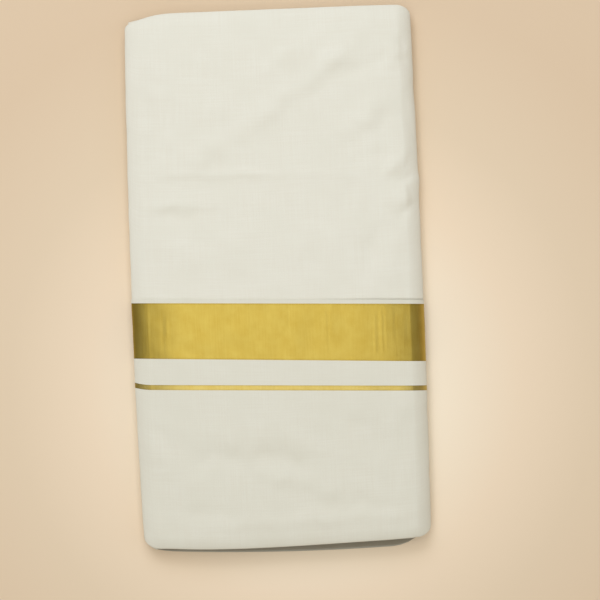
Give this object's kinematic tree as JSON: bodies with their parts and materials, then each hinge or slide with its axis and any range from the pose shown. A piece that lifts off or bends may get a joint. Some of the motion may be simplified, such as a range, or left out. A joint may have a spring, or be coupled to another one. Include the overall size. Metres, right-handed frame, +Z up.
{
  "type": "folded dhoti cloth",
  "caption": "Cream cotton dhoti with a woven gold zari band and line, folded into a flat rectangular packet.",
  "frame": {"origin": "middle of the packet, on the surface it lies on", "axes": "+Z up out of the front face, +Y along the packet to its head fold, +X across it to the spine fold"},
  "size_m": [0.2284, 0.42, 0.022],
  "materials": {
    "cotton": "matte plain weave",
    "inner_cotton": "matte plain weave",
    "zari": "metallic gold thread, satin"
  },
  "bodies": {
    "root": {"inner_pages": "inner_cotton", "body_ply": "cotton", "flap_selvedge": "cotton", "flap_zari_band": "zari", "flap_plain_stripe": "cotton", "flap_zari_line": "zari", "flap_foot_panel": "cotton"}
  },
  "joints": []
}
